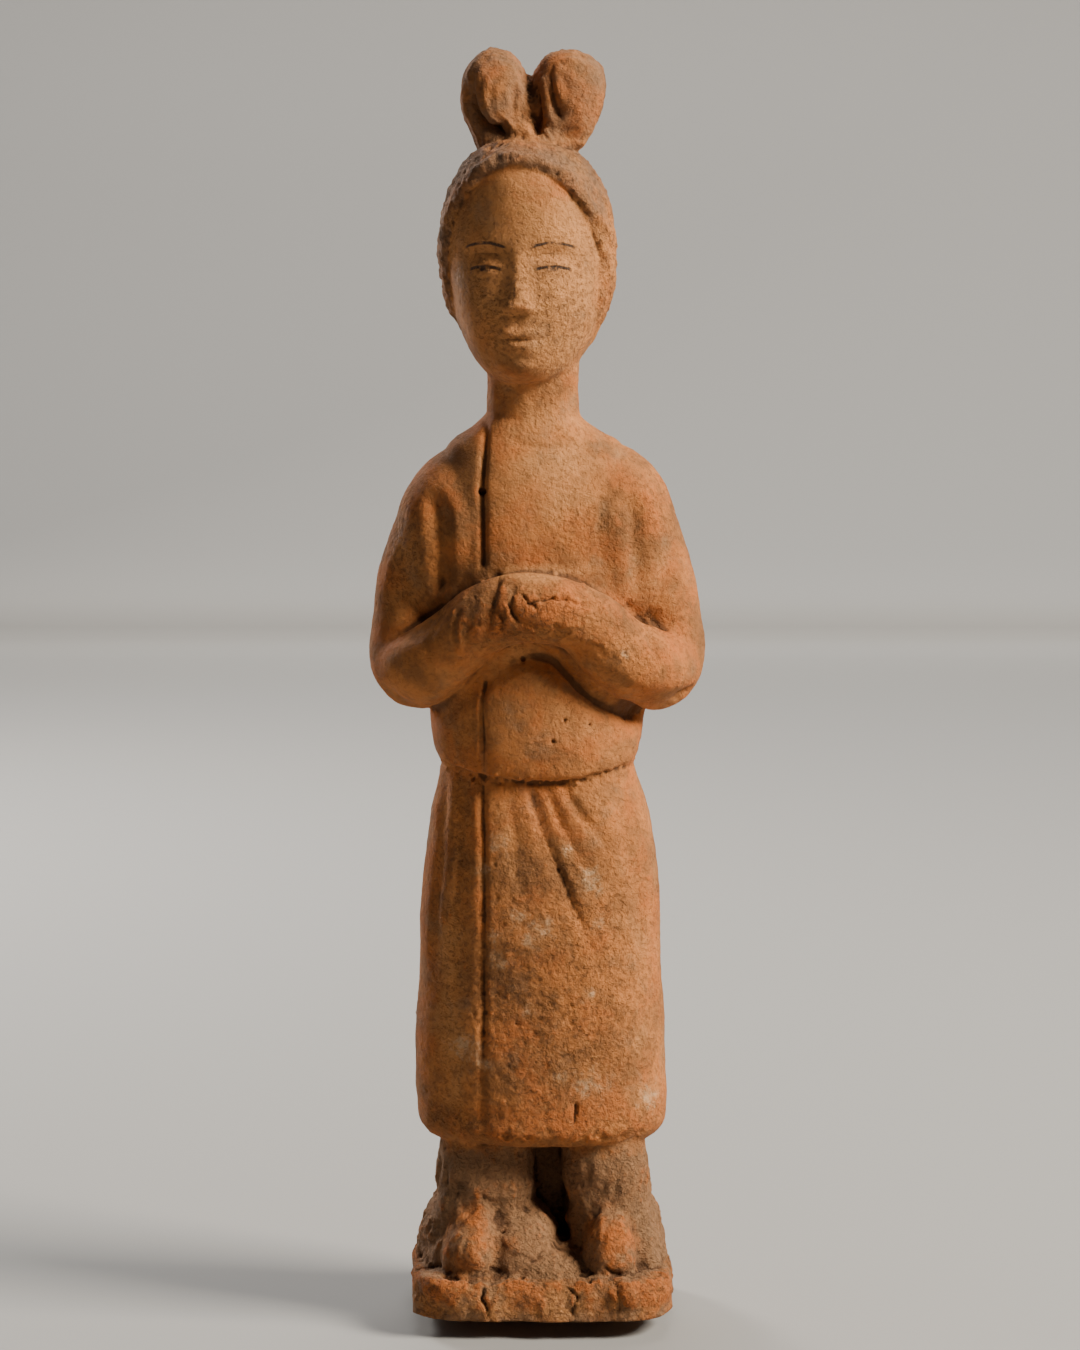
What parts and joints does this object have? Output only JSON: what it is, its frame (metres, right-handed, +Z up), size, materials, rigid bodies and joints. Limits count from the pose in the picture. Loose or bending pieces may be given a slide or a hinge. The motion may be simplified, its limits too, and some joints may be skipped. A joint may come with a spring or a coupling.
{
  "type": "terracotta attendant figure",
  "caption": "Standing moulded terracotta tomb attendant with a double topknot, joined sleeves, long belted robe and boots, fired in one piece with its rough clay plinth.",
  "frame": {"origin": "middle of the plinth's flat underside", "axes": "+Z up along the figure, the figure faces -Y, +X to the viewer's right as one faces it"},
  "size_m": [0.075, 0.0553, 0.2794],
  "materials": {
    "terracotta": "unglazed orange-brown fired clay, dry and matt, with buff slip dust, brown burial soil in the hollows, small white lime specks and thin dark painted brows and lids"
  },
  "bodies": {
    "root": {"attendant_figure": "terracotta"}
  },
  "joints": []
}
